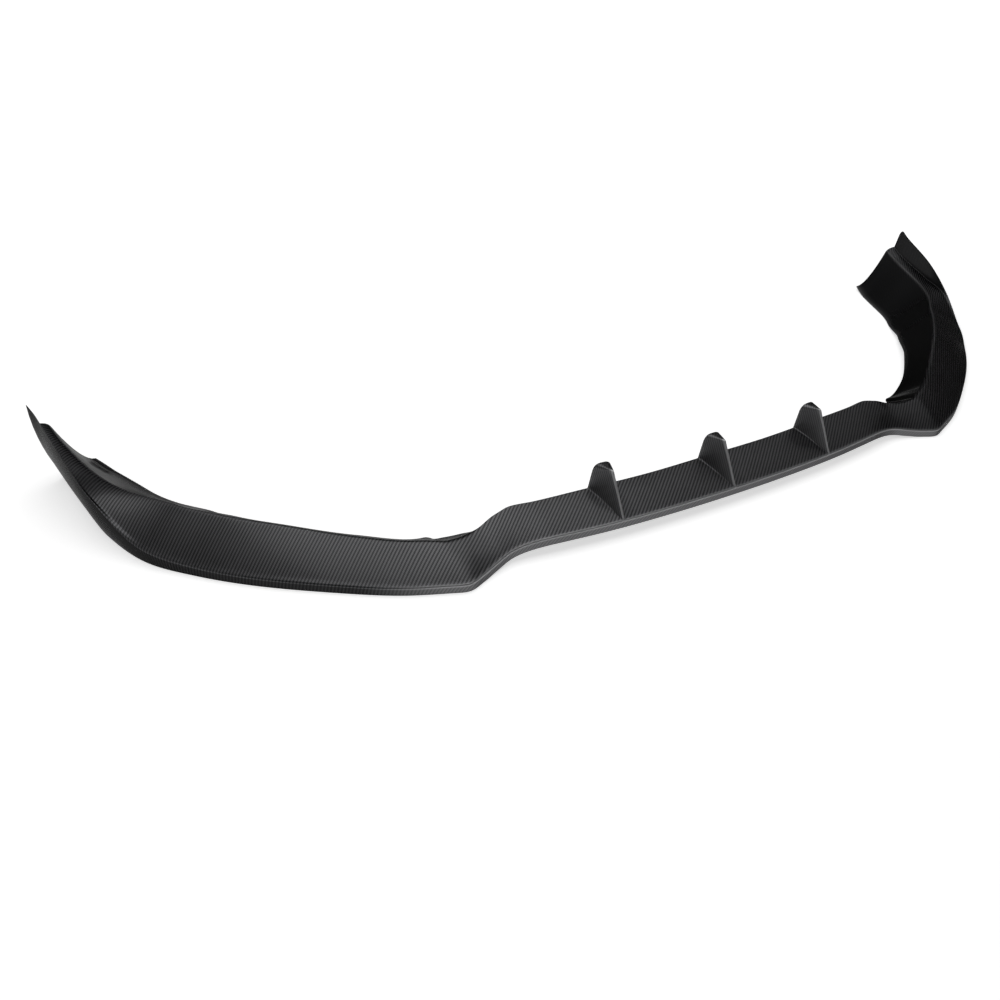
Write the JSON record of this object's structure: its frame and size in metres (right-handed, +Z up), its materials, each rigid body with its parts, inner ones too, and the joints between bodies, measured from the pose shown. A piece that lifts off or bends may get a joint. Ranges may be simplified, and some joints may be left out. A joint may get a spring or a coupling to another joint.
{
  "type": "front splitter lip",
  "caption": "Dark woven-fibre front splitter lip for a car bumper, a shallow raised middle with upright fins and two swept wings that end in raised blades.",
  "frame": {"origin": "on the ground under the middle of the lip's bounding box, on the plane of symmetry", "axes": "+Z up, -Y the way the nose of the lip faces, +X to the right seen from behind the camera looking along +Y"},
  "size_m": [1.7664, 0.546, 0.1343],
  "materials": {
    "fibre_shell": "woven carbon fibre twill under a clear satin gloss resin"
  },
  "bodies": {
    "root": {"splitter_lip": "fibre_shell"}
  },
  "joints": []
}
